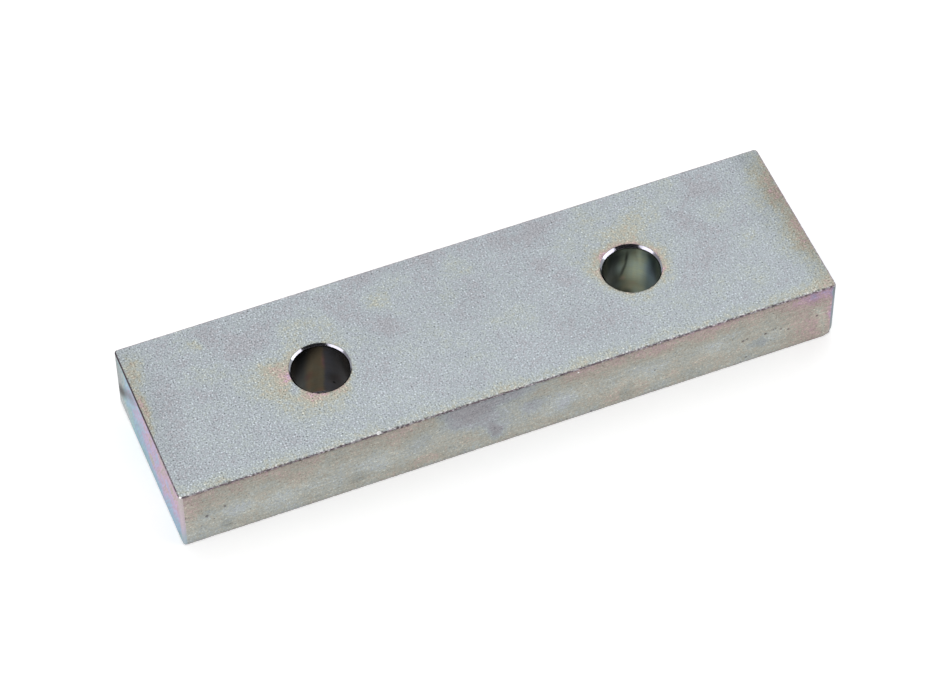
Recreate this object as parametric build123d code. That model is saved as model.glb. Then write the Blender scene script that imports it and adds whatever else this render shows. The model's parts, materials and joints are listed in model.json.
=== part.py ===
"""Machined mounting block: one length of flat steel bar with two plain holes for screws.

The block lies on its broad face. +X runs along its length, +Y across its width and +Z up
through its thickness. The origin is the centre of the bottom face. Sizes are in millimetres.

The bar is cut square at both ends, and its four upright corners are dressed to a small
radius. The rims of both broad faces are only broken. Both holes are drilled right through
on the block's centre line, and each is countersunk a little at both mouths.
"""

from build123d import *

import os

# The bar.
length = 107.0
width = 30.0
thickness = 12.0
corner_radius = 0.6  # upright corners, dressed after the ends are cut
rim_radius = 0.2  # rims of the top and bottom faces

# The holes, each a clearance hole for an M8 screw.
hole_count = 2
hole_pitch = 51.2  # centre to centre along the bar
hole_diameter = 9.0
countersink_depth = 0.3  # at 45 degrees, so it is also the countersink's width

hole_radius = hole_diameter / 2


def cut_bar():
    """The bar cut to length, with dressed corners and broken rims."""
    bar = extrude(RectangleRounded(length, width, corner_radius), thickness)
    broad_faces = bar.faces().filter_by(Axis.Z)
    return fillet(broad_faces.edges(), rim_radius)


def drill_holes(bar):
    """The bar with its row of through holes, countersunk from both sides."""
    drill = extrude(Circle(hole_radius), thickness)
    drilled = bar - [place * drill for place in GridLocations(hole_pitch, 0, hole_count, 1)]
    broad_faces = drilled.faces().filter_by(Axis.Z)
    mouths = [rim for face in broad_faces for wire in face.inner_wires() for rim in wire.edges()]
    return chamfer(mouths, countersink_depth)


def mounting_block():
    """The finished block, as one solid."""
    block = drill_holes(cut_bar())
    block.label = "mounting_block"
    return block


os.makedirs("parts", exist_ok=True)
export_step(mounting_block(), "parts/mounting_block.step")
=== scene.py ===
"""Looks of the mounting block: its dressed surface, its plated finishes and a plain studio.

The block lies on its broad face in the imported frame, with +X along it and +Z up. Blender works in
metres. The sizes of a finish are small, so they are written in millimetres, and MM turns them into
metres where a mesh, a lamp or the camera is made.
"""

import json
import math
from collections import namedtuple
from functools import partial

import bmesh
import bpy
import numpy as np
from mathutils import Matrix, Vector
from mathutils.geometry import delaunay_2d_cdt


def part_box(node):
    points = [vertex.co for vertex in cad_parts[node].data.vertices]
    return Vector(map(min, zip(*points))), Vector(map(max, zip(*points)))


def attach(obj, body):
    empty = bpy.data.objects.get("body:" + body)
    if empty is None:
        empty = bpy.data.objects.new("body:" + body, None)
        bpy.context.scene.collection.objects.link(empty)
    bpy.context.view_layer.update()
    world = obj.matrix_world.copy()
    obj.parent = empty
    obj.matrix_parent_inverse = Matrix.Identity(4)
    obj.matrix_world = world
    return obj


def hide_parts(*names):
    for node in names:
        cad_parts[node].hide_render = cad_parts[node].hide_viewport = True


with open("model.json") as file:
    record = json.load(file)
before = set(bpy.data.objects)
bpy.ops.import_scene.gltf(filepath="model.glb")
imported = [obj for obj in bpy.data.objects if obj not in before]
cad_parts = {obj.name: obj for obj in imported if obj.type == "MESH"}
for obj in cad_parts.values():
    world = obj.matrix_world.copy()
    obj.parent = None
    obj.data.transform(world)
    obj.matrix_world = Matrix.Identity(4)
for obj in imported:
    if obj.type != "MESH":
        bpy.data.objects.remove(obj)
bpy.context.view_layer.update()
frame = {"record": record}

MM = 0.001
NODE = "mounting_block"
BODY = "root"

# The block's own sizes, in millimetres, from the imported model.
low, high = (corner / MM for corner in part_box(NODE))
half_length = (high.x - low.x) / 2
half_width = (high.y - low.y) / 2
top, bottom = high.z, low.z
bores = [mount for mount in frame["record"]["mounts"] if mount["kind"] == "bore"]
bore_centres = sorted((mount["pos_m"][0] / MM, mount["pos_m"][1] / MM) for mount in bores)
bore_radius = bores[0]["dims"]["r_mm"]
countersink = (top - bottom - bores[0]["dims"]["length_mm"]) / 2

# Sizes of the dressed edges, in millimetres, as in the CAD model.
corner_radius = 0.6
rim_radius = 0.2

# The finishes, in the order of the mesh's material slots.
BLASTED, DRAWN, MILLED, CORNER, RIM, SINK, LEFT_BORE, RIGHT_BORE = range(8)


def from_corner(x, y, z):
    """A place given from the block's left end, its front side and its bottom face."""
    return (low.x + x, low.y + y, bottom + z)


def in_scene(name, data):
    """A new object, linked to the scene."""
    made = bpy.data.objects.new(name, data)
    bpy.context.scene.collection.objects.link(made)
    return made


# ------------------------------------------------------------------------------------------
# The mesh: rows over the rims, columns in the corners and bores, and graded triangles between
# ------------------------------------------------------------------------------------------

RIM_STEP = 0.15  # along the rims, fine enough for their nicks
COLUMN_STEP = 0.32  # up the corners and the bores
MARGIN = 0.45  # of each flat face beside its rim, in rows of its own
PANEL_EDGES = ((0.35, 0.36), (0.85, 0.6))  # rows beside the margin: their insets and steps
PANEL_INSET = 1.45  # of the even points in the middle of a flat face
PANEL_STEP = 0.9  # between those even points
ROW_SHARE = 0.87  # of that step, from one even row to the next
CLEAR = 0.05  # the least distance of a panel's point from its border
HOLE_ALLOWANCE = 0.01  # a triangle that stays within this of a hole's radius lies in the hole
SAME_PLACE = 0.002  # points closer than this become one
BORE_STEPS = 144
CONE_SHARES = (0, 0.05, 0.2, 0.45, 0.7, 0.95)  # rows down a countersink
CONE_FOOT = 0.03  # from a countersink's lower edge to the first row of its bore
MOUTH_RINGS = ((0.25, 108), (0.6, 84), (1.15, 60))  # round a mouth: their gaps and counts
MOUTH_FREE = 1.8  # round a mouth, free of even points
PIT_RINGS = ((0, 1), (0.35, 6), (0.7, 9), (1.1, 12))  # shares of a pit's radius, and counts
PIT_FREE = 0.3  # round a pit's last ring, free of even points
SINK_DRIFTS = ((-0.02, 0.03), (-0.03, 0.11))  # how far each countersink is off its bore's axis
SINK_EXCESS = (0.0, 0.025)  # how much wider than its nominal size each is cut
mouth_centres = np.add(bore_centres, SINK_DRIFTS)
mouth_radii = bore_radius + countersink + np.array(SINK_EXCESS)
mouths = list(zip(mouth_centres, mouth_radii))

# Each face has its place on a flat sheet, in millimetres, for the map that a bake goes through.
SHEET = (109.0, 116.0)
SHEET_MIDDLES = {"top": (54.5, 16.0), "bottom": (54.5, 47.5)}
SHEET_CORNERS = {
    "front": (1.0, 64.0),
    "back": (1.0, 77.0),
    "right": (1.0, 90.0),
    "left": (33.0, 90.0),
    "bores": (1.0, 103.0),
}
BORE_SPACING = 31.0  # on the sheet, from one bore's wall to the next

# A mark in the metal: its place in millimetres from the corner, its radius and its depth.
Mark = namedtuple("Mark", "place radius depth")
PITS = [
    Mark(from_corner(along, 0.0, up), radius, depth)
    for along, up, radius, depth in (
        (0.7, 6.6, 0.22, 0.09),
        (4.0, 5.5, 0.38, 0.16),
        (5.1, 4.4, 0.18, 0.07),
        (6.9, 6.6, 0.30, 0.13),
        (3.0, 3.6, 0.16, 0.06),
        (91.5, 5.5, 0.30, 0.10),
        (92.2, 5.7, 0.26, 0.09),
        (95.3, 5.5, 0.34, 0.15),
        (96.6, 5.9, 0.20, 0.10),
        (97.0, 6.0, 0.16, 0.09),
        (97.9, 5.5, 0.22, 0.10),
        (99.2, 4.8, 0.30, 0.12),
        (104.0, 5.9, 0.30, 0.10),
        (92.2, 1.2, 0.26, 0.11),
        (66.2, 0.4, 0.26, 0.12),
        (76.7, 5.5, 0.22, 0.07),
    )
]
CHIPS = [
    Mark(from_corner(31.7, 0.22, 12.0), 0.42, 0.10),
    Mark(from_corner(0.2, 0.2, 12.0), 0.32, 0.07),
    Mark(from_corner(63.8, 0.0, 11.3), 0.26, 0.04),
]
BLUNTED = Mark(from_corner(107.0, 0.0, 0.0), 1.7, 0.36)


class Skin:
    """Collects patches of the block's surface, each with a finish and a place on the flat sheet."""

    def __init__(self):
        self.places, self.faces, self.finishes, self.sheet = [], [], [], []

    def patch(self, places, faces, finish, sheet):
        """Adds points (n, 3), faces that number them, and the points' places on the sheet."""
        first = len(self.places)
        self.places.extend(places)
        self.sheet.extend(sheet)
        self.faces.extend([tuple(first + corner for corner in face) for face in faces])
        self.finishes.extend([finish] * len(faces))

    def grid(self, places, finish, sheet):
        """Adds a grid of points (rows, columns, 3) as four-sided faces."""
        rows, columns = places.shape[:2]
        number = np.arange(rows * columns).reshape(rows, columns)
        sides = (number[:-1, :-1], number[:-1, 1:], number[1:, 1:], number[1:, :-1])
        faces = np.stack([side.ravel() for side in sides], 1).tolist()
        self.patch(places.reshape(-1, 3), faces, finish, sheet.reshape(-1, 2))

    def fill(self, loops, inner, holes, raised, finish, sheet_start):
        """Adds triangles between closed loops and the points inside them, all given in a plane.

        Holes are (centre, radius). raised takes points of the plane to their places.
        """
        borders, first = [], 0
        for loop in loops:
            borders += [(first + i, first + (i + 1) % len(loop)) for i in range(len(loop))]
            first += len(loop)
        points = [Vector(point) for point in np.concatenate([*loops, inner])]
        flat, _, triangles, *_ = delaunay_2d_cdt(points, borders, [], 0, 1e-6)
        flat = np.array(flat)
        corners = flat[np.array(triangles)]
        solid = np.ones(len(corners), bool)
        for centre, radius in holes:
            solid &= np.linalg.norm(corners - centre, axis=2).max(1) > radius + HOLE_ALLOWANCE
        kept = [tuple(triangle) for triangle, keep in zip(triangles, solid) if keep]
        self.patch(raised(flat), kept, finish, flat + sheet_start)

    def mesh(self, name):
        """The patches as one closed mesh, in metres."""
        mesh = bpy.data.meshes.new(name)
        mesh.from_pydata((np.array(self.places) * MM).tolist(), [], self.faces)
        mesh.polygons.foreach_set("material_index", self.finishes)
        corners = np.concatenate([np.array(face) for face in self.faces])
        on_sheet = np.array(self.sheet)[corners] / SHEET
        uv_map = mesh.uv_layers.new(name="OFBake")
        uv_map.data.foreach_set("uv", on_sheet.astype(np.float32).ravel())
        shape = bmesh.new()
        shape.from_mesh(mesh)
        bmesh.ops.remove_doubles(shape, verts=shape.verts, dist=SAME_PLACE * MM)
        bmesh.ops.recalc_face_normals(shape, faces=shape.faces)
        shape.to_mesh(mesh)
        shape.free()
        mesh.polygons.foreach_set("use_smooth", [True] * len(mesh.polygons))
        return mesh


Stretch = namedtuple("Stretch", "side is_corner anchors outwards")


def outline():
    """The block's outline from above, in straight and round stretches.

    A point of the outline, drawn in by some inset, is its anchor plus its outward direction times
    corner_radius less the inset, on the straights and in the corners alike.
    """
    across, along = half_length - corner_radius, half_width - corner_radius
    centres = [Vector((across, -along)), Vector((across, along))]
    centres += [Vector((-across, along)), Vector((-across, -along))]
    stretches = []
    for turn, side in enumerate(("front", "right", "back", "left")):
        start, end = centres[turn - 1], centres[turn]
        outward = Vector((math.sin(turn * math.pi / 2), -math.cos(turn * math.pi / 2)))
        steps = round((end - start).length / RIM_STEP)
        anchors = np.linspace(start, end, steps + 1)
        stretches.append(Stretch(side, False, anchors, np.tile(outward, (steps + 1, 1))))
        steps = round(corner_radius * math.pi / 2 / RIM_STEP) + 1
        angles = np.linspace(turn - 1, turn, steps + 1) * math.pi / 2
        outwards = np.stack([np.cos(angles), np.sin(angles)], 1)
        stretches.append(Stretch(side, True, np.tile(end, (steps + 1, 1)), outwards))
    return stretches


def drawn_in(stretch, inset):
    """Points of a stretch of the outline, drawn in by inset."""
    return stretch.anchors + stretch.outwards * (corner_radius - inset)


def wall_finish(stretch):
    """The finish of the wall or corner below a stretch of the rim."""
    if stretch.is_corner:
        return CORNER
    return DRAWN if stretch.side in ("front", "back") else MILLED


def rim_rows():
    """The way over a rim, in rows of (inset, depth): on the face, round the rim, down the wall."""
    between = (MARGIN + rim_radius) / 2
    face = [(MARGIN, 0.0), (between, 0.0), (rim_radius, 0.0)]
    quarter = np.linspace(0, math.pi / 2, 5)
    arc = [(rim_radius * (1 - math.sin(a)), rim_radius * (1 - math.cos(a))) for a in quarter]
    wall = [(0.0, rim_radius), (0.0, between), (0.0, MARGIN)]
    return face, arc, wall


def at_height(points, z):
    """Points of a plane, with a height as their last number."""
    return np.hstack([points, np.full((len(points), 1), z)])


def add_rims(skin):
    """The rims all round the block, with the margins of the faces beside them."""
    face_rows, arc, wall_rows = rim_rows()
    for stretch in outline():
        for face, height, down in (("top", top, -1), ("bottom", bottom, 1)):
            parts = ((face_rows, BLASTED), (arc, RIM), (wall_rows, wall_finish(stretch)))
            for rows, finish in parts:
                places, sheet = [], []
                for inset, depth in rows:
                    level = drawn_in(stretch, inset)
                    places.append(at_height(level, height + down * depth))
                    sheet.append(drawn_in(stretch, inset - depth) + SHEET_MIDDLES[face])
                skin.grid(np.array(places), finish, np.array(sheet))


def panel_points(centre, across, along, rounds):
    """Points inside a rectangle, closer together towards its edges and round each of its rounds.

    A round is (centre, free radius, rings of (radius, count)), and the even points keep out of it.
    """
    found = []
    for inset, step in PANEL_EDGES:
        x, y = across - inset, along - inset
        for u in np.linspace(-x, x, round(2 * x / step) + 1):
            found += [(u, -y), (u, y)]
        for v in np.linspace(-y, y, round(2 * y / step) + 1)[1:-1]:
            found += [(-x, v), (x, v)]
    x, y = across - PANEL_INSET, along - PANEL_INSET
    rows = round(2 * y / (PANEL_STEP * ROW_SHARE)) + 1
    for row, v in enumerate(np.linspace(-y, y, rows)):
        shift = PANEL_STEP / 2 * (row % 2)
        found += [(u, v) for u in np.arange(shift - x, x, PANEL_STEP)]
    found = np.array(found) + centre
    for middle, free, _ in rounds:
        found = found[np.hypot(*(found - middle).T) > free]
    rings = [ring(middle, radius, count) for middle, _, sizes in rounds for radius, count in sizes]
    return np.concatenate([found, *rings])


def ring(centre, radius, count):
    """Points round a circle."""
    angles = np.arange(count) * 2 * math.pi / count
    return np.stack([np.cos(angles), np.sin(angles)], 1) * radius + centre


def add_broad_faces(skin):
    """The middles of the top and bottom faces."""
    edge = np.concatenate([drawn_in(stretch, MARGIN)[:-1] for stretch in outline()])
    loops = [edge] + [ring(centre, radius, BORE_STEPS) for centre, radius in mouths]
    rounds = []
    for centre, radius in mouths:
        rings = [(radius + gap, count) for gap, count in MOUTH_RINGS]
        rounds.append((centre, radius + MOUTH_FREE, rings))
    inner = panel_points((0, 0), half_length - MARGIN, half_width - MARGIN, rounds)
    for face, height in (("top", top), ("bottom", bottom)):
        raised = partial(at_height, z=height)
        skin.fill(loops, inner, mouths, raised, BLASTED, SHEET_MIDDLES[face])


def distances(wall):
    """How far along it each point of a wall's outline is."""
    steps = np.linalg.norm(np.diff(wall, axis=0), axis=1)
    return np.concatenate([[0], np.cumsum(steps)])


def add_wall(skin, stretch, heights):
    """One flat wall between its rims, with finer points round each pit. Gives its length."""
    wall = drawn_in(stretch, 0)
    along = distances(wall)
    length = along[-1]
    forward = (wall[-1] - wall[0]) / length

    def raised(flat):
        return np.hstack([wall[0] + flat[:, :1] * forward, flat[:, 1:]])

    lower, upper = (along, heights[0]), (along[::-1], heights[-1])
    edges = (lower, (length, heights), upper, (0.0, heights[::-1]))
    loop = [np.stack(np.broadcast_arrays(u, z), 1)[:-1] for u, z in edges]
    rounds = []
    for pit in PITS if stretch.side == "front" else ():
        centre = (pit.place[0] - wall[0][0], pit.place[2])
        rings = [(pit.radius * share, count) for share, count in PIT_RINGS]
        rounds.append((centre, rings[-1][0] + PIT_FREE, rings))
    middle = np.array([length / 2, (heights[0] + heights[-1]) / 2])
    half = np.array([length / 2, (heights[-1] - heights[0]) / 2])
    inner = panel_points(middle, *half, rounds)
    inner = inner[(np.abs(inner - middle) < half - CLEAR).all(axis=1)]
    start = SHEET_CORNERS[stretch.side]
    skin.fill([np.concatenate(loop)], inner, (), raised, wall_finish(stretch), start)
    return length


def add_corner(skin, stretch, heights, length):
    """One upright corner, which unrolls on the sheet past the wall of this length."""
    wall = drawn_in(stretch, 0)
    along = distances(wall)[:, None] + length
    places = np.array([at_height(wall, z) for z in heights])
    sheet = np.array([at_height(along, z) for z in heights])
    skin.grid(places, wall_finish(stretch), sheet + SHEET_CORNERS[stretch.side])


def add_walls(skin):
    """The four walls, each with the corner that comes after it."""
    rows = math.ceil((top - bottom - 2 * MARGIN) / COLUMN_STEP)
    heights = np.linspace(bottom + MARGIN, top - MARGIN, rows + 1)
    stretches = outline()
    for wall, corner in zip(stretches[::2], stretches[1::2]):
        add_corner(skin, corner, heights, add_wall(skin, wall, heights))


def add_bore(skin, number, finish):
    """One bore, with a countersink at both mouths.

    A countersink is a cone of 45 degrees, a little off the bore's axis, so its depth follows its
    width all round.
    """
    angles = np.linspace(0, 2 * math.pi, BORE_STEPS + 1)
    circle = np.stack([np.cos(angles), np.sin(angles)], 1)
    centre = np.array(bore_centres[number])
    mouth = circle * mouth_radii[number] + mouth_centres[number]
    wall = circle * bore_radius + centre
    width = np.linalg.norm(mouth - wall, axis=1)
    start = np.array(SHEET_CORNERS["bores"]) + [number * BORE_SPACING, 0]
    cone = [(mouth + (wall - mouth) * share, width * share) for share in CONE_SHARES]
    cone.append((wall, width + CONE_FOOT))
    upper = [(level, top - depth) for level, depth in cone]
    lower = [(level, bottom + depth) for level, depth in cone]
    rows = math.ceil((top - bottom - 2 * countersink) / COLUMN_STEP)
    shares = np.linspace(0, 1, rows + 1)
    middle = [(wall, upper[-1][1] * (1 - share) + lower[-1][1] * share) for share in shares]
    for levels, dress in ((upper, SINK), (middle, finish), (lower, SINK)):
        places = [np.column_stack([level, height]) for level, height in levels]
        sheet = [np.column_stack([angles * bore_radius, height]) + start for _, height in levels]
        skin.grid(np.array(places), dress, np.array(sheet))


def store(mesh, name, values):
    """Keeps a number for each point of a mesh."""
    attribute = mesh.attributes.new(name, "FLOAT", "POINT")
    attribute.data.foreach_set("value", values.astype(np.float32))


def hollow(places, marks):
    """How deep the marks are at each place, and how much each place belongs to one."""
    depth, share = np.zeros(len(places)), np.zeros(len(places))
    for mark in marks:
        away = np.linalg.norm(places - mark.place, axis=1) / mark.radius
        bowl = np.clip(1 - away, 0, 1) ** 0.5 * (away < 1)
        depth = np.maximum(depth, bowl * mark.depth)
        share = np.maximum(share, bowl)
    return depth, share


def blunted(places):
    """How far each place is worn down near the blunted corner."""
    away = np.linalg.norm(places - BLUNTED.place, axis=1) / BLUNTED.radius
    return BLUNTED.depth * (1 - np.clip(away, 0, 1) ** 2) ** 2


def block_mesh():
    """The whole surface of the block, with what its wear and its finishes go by as attributes."""
    skin = Skin()
    add_rims(skin)
    add_broad_faces(skin)
    add_walls(skin)
    add_bore(skin, 0, LEFT_BORE)
    add_bore(skin, 1, RIGHT_BORE)
    mesh = skin.mesh("plated_block")
    places = np.empty(len(mesh.vertices) * 3, np.float32)
    mesh.vertices.foreach_get("co", places)
    places = places.reshape(-1, 3) / MM
    x, y, z = places.T
    from_end, from_side = half_length - np.abs(x), half_width - np.abs(y)
    from_face = np.minimum(top - z, z - bottom)
    from_mouths = [np.hypot(x - cx, y - cy) - radius for (cx, cy), radius in mouths]
    store(mesh, "rim_mm", np.hypot(np.minimum(from_end, from_side), from_face))
    store(mesh, "mouth_mm", np.hypot(np.min(from_mouths, axis=0), from_face))
    pit_depth, in_pit = hollow(places, PITS)
    chip_depth, in_chip = hollow(places, CHIPS)
    store(mesh, "dent_mm", pit_depth + chip_depth + blunted(places))
    store(mesh, "in_pit", in_pit)
    store(mesh, "in_chip", in_chip)
    return mesh


# ------------------------------------------------------------------------------------------
# Nodes
# ------------------------------------------------------------------------------------------


class Graph:
    """Adds nodes to one tree. An input's value may be a number, a colour or another's output."""

    def __init__(self, tree):
        self.tree = tree

    def node(self, kind, inputs=None, **settings):
        """A new node, with its settings, and its inputs by name."""
        made = self.tree.nodes.new(kind)
        for name, value in settings.items():
            setattr(made, name, value)
        for name, value in (inputs or {}).items():
            self.feed(made.inputs[name], value)
        return made

    def feed(self, socket, value):
        """Links an output to the socket, or sets the socket's own value."""
        if isinstance(value, bpy.types.NodeSocket):
            self.tree.links.new(value, socket)
        else:
            socket.default_value = value

    def maths(self, operation, *values):
        made = self.node("ShaderNodeMath", operation=operation)
        for socket, value in zip(made.inputs, values):
            self.feed(socket, value)
        return made.outputs[0]

    def total(self, *values):
        result = values[0]
        for value in values[1:]:
            result = self.maths("ADD", result, value)
        return result

    def product(self, *values):
        result = values[0]
        for value in values[1:]:
            result = self.maths("MULTIPLY", result, value)
        return result

    def about(self, middle, value, reach):
        """middle, plus a value from 0 to 1 taken as -0.5 to 0.5 of reach."""
        return self.maths("MULTIPLY_ADD", self.maths("SUBTRACT", value, 0.5), reach, middle)

    def vector(self, operation, *values, output="Vector"):
        made = self.node("ShaderNodeVectorMath", operation=operation)
        sockets = [socket for socket in made.inputs if socket.name != "Scale"]
        for socket, value in zip(sockets, values):
            self.feed(socket, value)
        return made.outputs[output]

    def scaled(self, vector, scale):
        made = self.node("ShaderNodeVectorMath", operation="SCALE")
        self.feed(made.inputs[0], vector)
        self.feed(made.inputs["Scale"], scale)
        return made.outputs["Vector"]

    def fade(self, value, start, end, low=0.0, high=1.0):
        """A smooth step: low at start, high at end."""
        inputs = {"Value": value, "From Min": start, "From Max": end, "To Min": low, "To Max": high}
        return self.node("ShaderNodeMapRange", inputs, interpolation_type="SMOOTHSTEP").outputs[0]

    def noise(self, place, size, detail=2.0, distortion=0.0, seed=0.0, output=0):
        """Noise from 0 to 1, whose lumps are about size across."""
        inputs = {
            "Vector": place,
            "W": seed,
            "Scale": self.maths("DIVIDE", 1.0, size),
            "Detail": detail,
            "Distortion": distortion,
        }
        return self.node("ShaderNodeTexNoise", inputs, noise_dimensions="4D").outputs[output]

    def blend(self, factor, first, second, **settings):
        """Two colours, mixed by factor."""
        made = self.node("ShaderNodeMix", data_type="RGBA", **settings)
        for index, value in ((0, factor), (6, first), (7, second)):
            self.feed(made.inputs[index], value)
        return made.outputs[2]

    def ramp(self, value, stops):
        """A colour ramp through (position, colour) stops."""
        made = self.node("ShaderNodeValToRGB", {"Fac": value})
        elements = made.color_ramp.elements
        while len(elements) < len(stops):
            elements.new(1.0)
        for element, (position, colour) in zip(elements, stops):
            element.position = position
            element.color = (*colour, 1.0)
        return made.outputs["Color"]

    def attribute(self, name):
        """A number that the mesh keeps for each point."""
        if self.tree.bl_idname == "ShaderNodeTree":
            return self.node("ShaderNodeAttribute", attribute_name=name).outputs["Fac"]
        return self.named(name, "FLOAT")

    def named(self, name, data_type):
        """The same in Geometry Nodes, for any type."""
        kind = "GeometryNodeInputNamedAttribute"
        return self.node(kind, {"Name": name}, data_type=data_type).outputs[0]


SOCKETS = {"value": "NodeSocketFloat", "vector": "NodeSocketVector", "colour": "NodeSocketColor"}


def new_group(name, inputs, outputs, tree_kind="ShaderNodeTree"):
    """A node group with named inputs (name, type, default) and outputs (name, type)."""
    tree = bpy.data.node_groups.new(name, tree_kind)
    for label, kind, default in inputs:
        kind = SOCKETS.get(kind, kind)
        made = tree.interface.new_socket(label, in_out="INPUT", socket_type=kind)
        if default is not None:
            made.default_value = default
    for label, kind in outputs:
        kind = SOCKETS.get(kind, kind)
        tree.interface.new_socket(label, in_out="OUTPUT", socket_type=kind)
    graph = Graph(tree)
    entry = graph.node("NodeGroupInput")
    end = graph.node("NodeGroupOutput")
    return graph, entry.outputs, end.inputs


# ------------------------------------------------------------------------------------------
# Wear of the edges, in the mesh itself
# ------------------------------------------------------------------------------------------


FULLY_WORN = 0.12  # from an edge, in millimetres


def worn_edges_tree(finish_names):
    """Geometry Nodes that nick and roughen the edges, then give each finish its material."""
    inputs = [
        ("Geometry", "NodeSocketGeometry", None),
        ("Worn width", "value", 0.42),
        ("Mouth share", "value", 0.25),
        ("Lower share", "value", 0.3),
        ("Farther share", "value", 0.15),
        ("Nick size", "value", 0.55),
        ("Nick depth", "value", 0.15),
        ("Grain size", "value", 0.24),
        ("Grain depth", "value", 0.07),
        ("Seed", "value", 3.0),
    ]
    inputs += [(name, "NodeSocketMaterial", None) for name in finish_names]
    outputs = [("Geometry", "NodeSocketGeometry")]
    graph, given, end = new_group("worn_edges", inputs, outputs, "GeometryNodeTree")
    place = graph.scaled(graph.node("GeometryNodeInputPosition").outputs[0], 1 / MM)
    normal = graph.node("GeometryNodeInputNormal").outputs[0]
    split = graph.node("ShaderNodeSeparateXYZ", {"Vector": place}).outputs
    share = graph.product(
        graph.fade(split["Z"], bottom, top, given["Lower share"], 1.0),
        graph.fade(split["Y"], low.y + 2.0, low.y + 0.5, given["Farther share"], 1.0),
    )
    near_rim = graph.fade(graph.attribute("rim_mm"), given["Worn width"], FULLY_WORN)
    near_rim = graph.product(near_rim, share)
    near_mouth = graph.fade(graph.attribute("mouth_mm"), given["Worn width"], FULLY_WORN)
    near = graph.maths("MAXIMUM", near_rim, graph.product(near_mouth, given["Mouth share"]))
    nicks = graph.fade(graph.noise(place, given["Nick size"], seed=given["Seed"]), 0.5, 0.68)
    grain = graph.fade(graph.noise(place, given["Grain size"], 1.0, seed=given["Seed"]), 0.3, 0.7)
    deep = graph.total(
        graph.product(nicks, given["Nick depth"]), graph.product(grain, given["Grain depth"])
    )
    depth = graph.total(graph.product(deep, near), graph.attribute("dent_mm"))
    offset = graph.scaled(normal, graph.product(depth, -MM))
    worn = graph.node("GeometryNodeSetPosition", {"Geometry": given["Geometry"], "Offset": offset})
    shape = worn.outputs[0]
    finish = graph.named("finish", "INT")
    for number, name in enumerate(finish_names):
        chosen = graph.node("FunctionNodeCompare", data_type="INT", operation="EQUAL")
        graph.feed(chosen.inputs[2], finish)
        graph.feed(chosen.inputs[3], number)
        dress = {"Geometry": shape, "Selection": chosen.outputs[0], "Material": given[name]}
        shape = graph.node("GeometryNodeSetMaterial", dress).outputs[0]
    whole = graph.node("GeometryNodeRealizeInstances", {"Geometry": shape})
    graph.feed(end["Geometry"], whole.outputs[0])
    return graph.tree


# ------------------------------------------------------------------------------------------
# Effects that several finishes share
# ------------------------------------------------------------------------------------------

# The colours of the clear passivate on zinc, as its film grows thicker.
FILM_COLOURS = (
    (0.00, (0.700, 0.722, 0.775)),
    (0.12, (0.730, 0.800, 0.862)),
    (0.22, (0.745, 0.815, 0.830)),
    (0.31, (0.776, 0.808, 0.745)),
    (0.38, (0.800, 0.780, 0.685)),
    (0.46, (0.880, 0.745, 0.700)),
    (0.54, (0.950, 0.720, 0.840)),
    (0.62, (0.860, 0.730, 0.980)),
    (0.70, (0.700, 0.800, 0.950)),
    (0.79, (0.590, 0.800, 0.970)),
    (0.88, (0.600, 0.800, 0.820)),
    (1.00, (0.740, 0.780, 0.790)),
)
NEUTRAL = (0.77, 0.77, 0.77, 1.0)


def passivate_film_group():
    """The interference colour of a film, from its thickness."""
    inputs = [("Thickness", "value", 0.12), ("Strength", "value", 1.0)]
    graph, given, end = new_group("passivate_film", inputs, [("Colour", "colour")])
    hue = graph.ramp(given["Thickness"], FILM_COLOURS)
    graph.feed(end["Colour"], graph.blend(given["Strength"], NEUTRAL, hue, clamp_factor=False))
    return graph.tree


def film_clouds_group():
    """How the film's thickness wanders over a face, in soft clouds."""
    inputs = [("Position", "vector", None), ("Size", "value", 7.0), ("Depth", "value", 0.8)]
    inputs += [("Seed", "value", 0.0)]
    graph, given, end = new_group("film_clouds", inputs, [("Thickness", "value")])
    cloud = graph.noise(given["Position"], given["Size"], 3.0, distortion=0.4, seed=given["Seed"])
    graph.feed(end["Thickness"], graph.about(0.0, cloud, given["Depth"]))
    return graph.tree


def ragged_place_group():
    """The position, pushed about, so that what is placed by it gets a ragged border."""
    inputs = [("Position", "vector", None), ("Size", "value", 2.0), ("Reach", "value", 3.0)]
    graph, given, end = new_group("ragged_place", inputs, [("Position", "vector")])
    push = graph.noise(given["Position"], given["Size"], 3.0, output="Color")
    push = graph.scaled(graph.vector("SUBTRACT", push, (0.5, 0.5, 0.5)), given["Reach"])
    graph.feed(end["Position"], graph.vector("ADD", given["Position"], push))
    return graph.tree


def soft_spot_group():
    """A soft oval mask: 1 in its middle, 0 past its reach."""
    inputs = [
        ("Position", "vector", None),
        ("Middle", "vector", (0.0, 0.0, 0.0)),
        ("Turn", "vector", (0.0, 0.0, 0.0)),
        ("Reach", "vector", (1.0, 1.0, 1.0)),
    ]
    graph, given, end = new_group("soft_spot", inputs, [("Mask", "value")])
    mapped = {
        "Vector": given["Position"],
        "Location": given["Middle"],
        "Rotation": given["Turn"],
        "Scale": given["Reach"],
    }
    inside = graph.node("ShaderNodeMapping", mapped, vector_type="TEXTURE").outputs[0]
    away = graph.vector("LENGTH", inside, output="Value")
    graph.feed(end["Mask"], graph.fade(away, 1.0, 0.0))
    return graph.tree


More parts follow.
